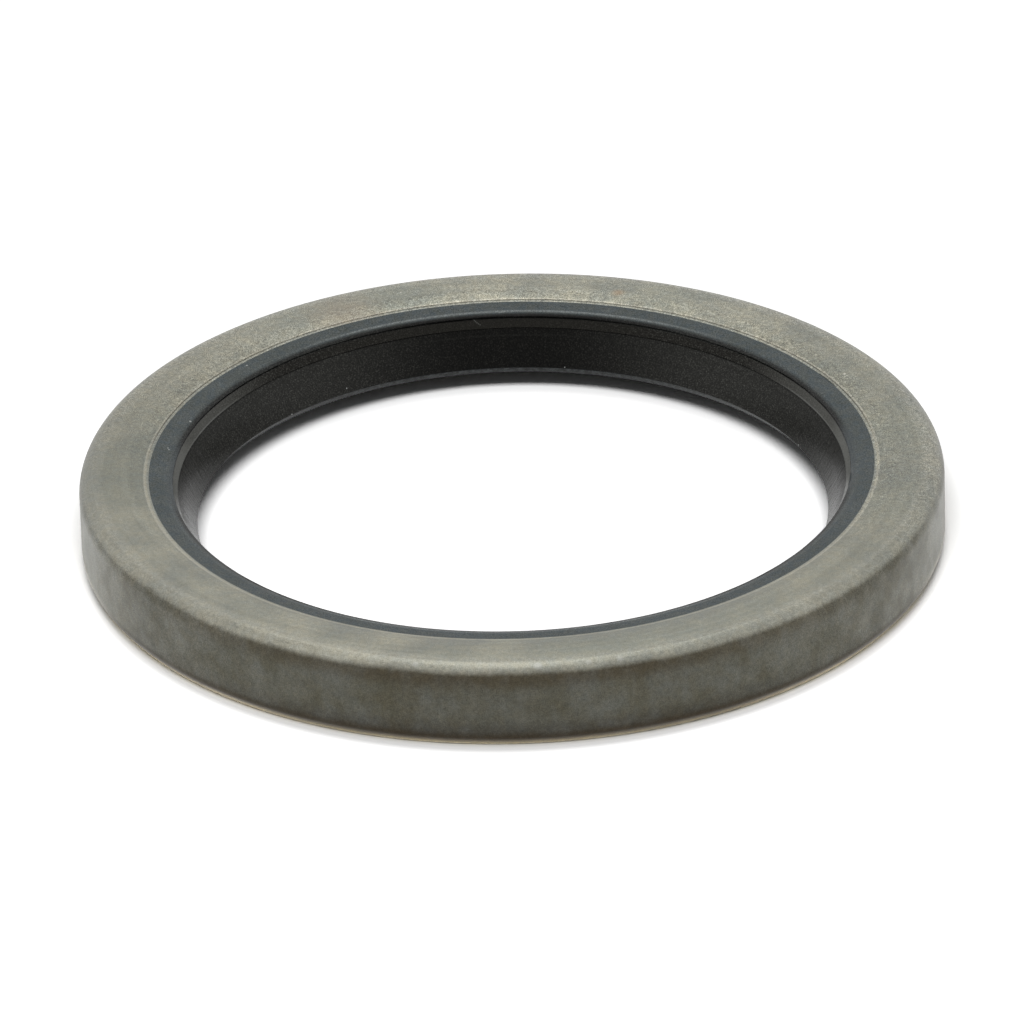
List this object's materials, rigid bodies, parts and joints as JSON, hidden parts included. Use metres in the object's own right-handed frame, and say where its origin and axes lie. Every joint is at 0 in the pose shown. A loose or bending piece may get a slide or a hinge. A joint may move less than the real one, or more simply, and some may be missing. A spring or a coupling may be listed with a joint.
{
  "type": "camshaft seal",
  "caption": "Flat ring-shaped rotary shaft seal: pressed steel case with a plain flange, bonded rubber lip and a garter spring behind the sealing edge.",
  "frame": {"origin": "centre of the seal at the case's open rim, which is the plane that it rests on", "axes": "+Z along the shaft's axis, from the open oil side to the flange on the air side; the part is round, so X and Y are free"},
  "size_m": [0.08, 0.08, 0.008],
  "materials": {
    "case_steel": "satin, fine blasted grain, slightly oily drawn wall",
    "lip_rubber": "matte blue-grey on the air side, smooth on the cone",
    "spring_steel": "bright drawn wire"
  },
  "bodies": {
    "root": {"outer_case": "case_steel", "sealing_lip": "lip_rubber", "garter_spring": "spring_steel"}
  },
  "joints": []
}
